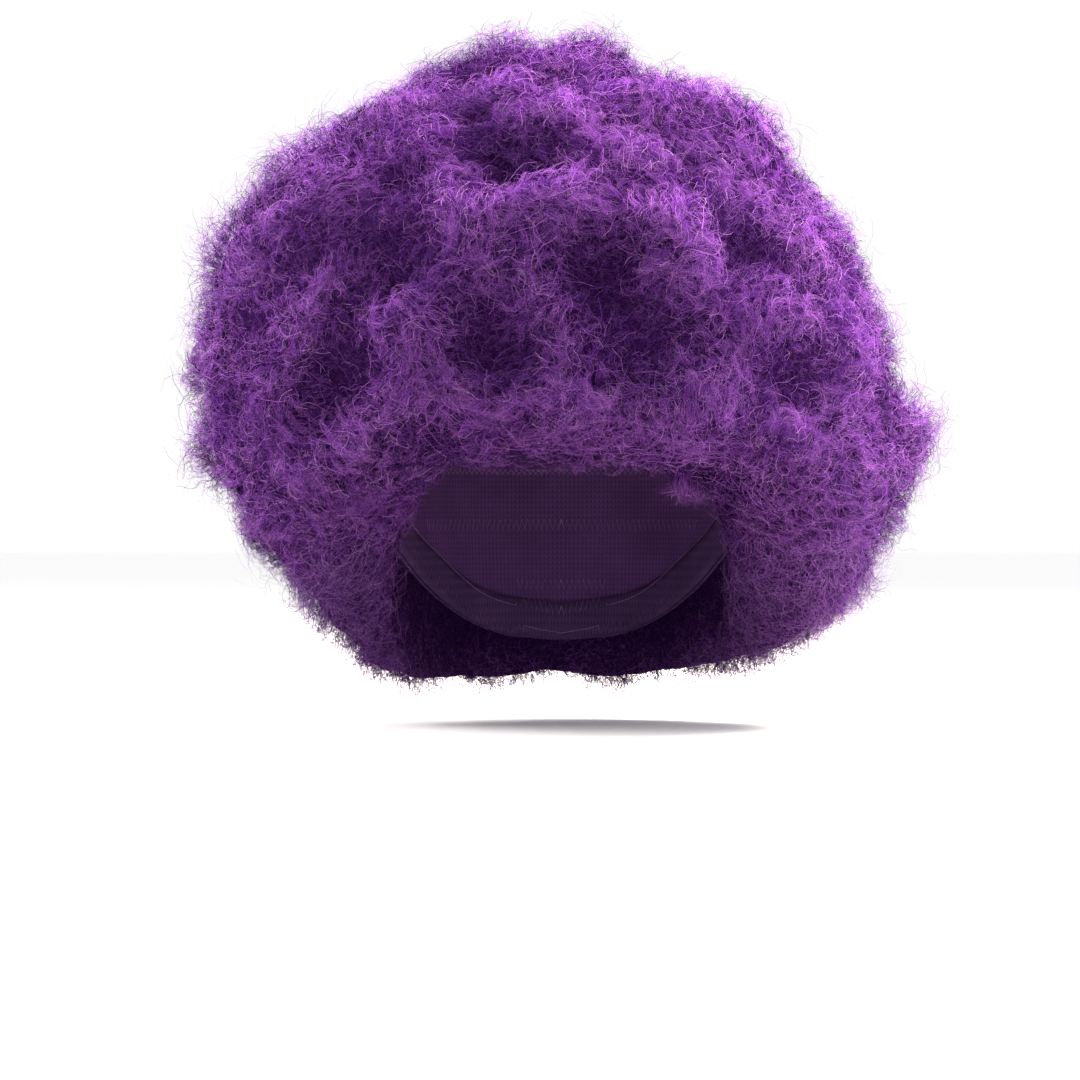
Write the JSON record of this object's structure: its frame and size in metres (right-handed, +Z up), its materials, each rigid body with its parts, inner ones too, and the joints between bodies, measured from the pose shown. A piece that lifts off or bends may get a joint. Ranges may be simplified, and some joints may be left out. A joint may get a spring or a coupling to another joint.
{
  "type": "afro wig",
  "caption": "Full round afro wig in purple: a thick ball of frizzy hair in soft locks, sewn on a stretch cap with an elastic edge band, open below and in front for the head and face",
  "frame": {"origin": "Inside of the cap at the crown, where it sits on the top of the wearer's head.", "axes": "+Z up; the wearer faces -Y; +X runs to the wearer's left, which is the right of the picture. The head leaves along -Z."},
  "size_m": [0.3383, 0.3232, 0.2992],
  "materials": {
    "hair": "frizzy crimped fibre, purple with lighter tips",
    "cap": "dark stretch knit",
    "edge_band": "dark woven elastic"
  },
  "bodies": {
    "root": {"hair": "hair", "cap": "cap", "edge_band": "edge_band"}
  },
  "joints": []
}
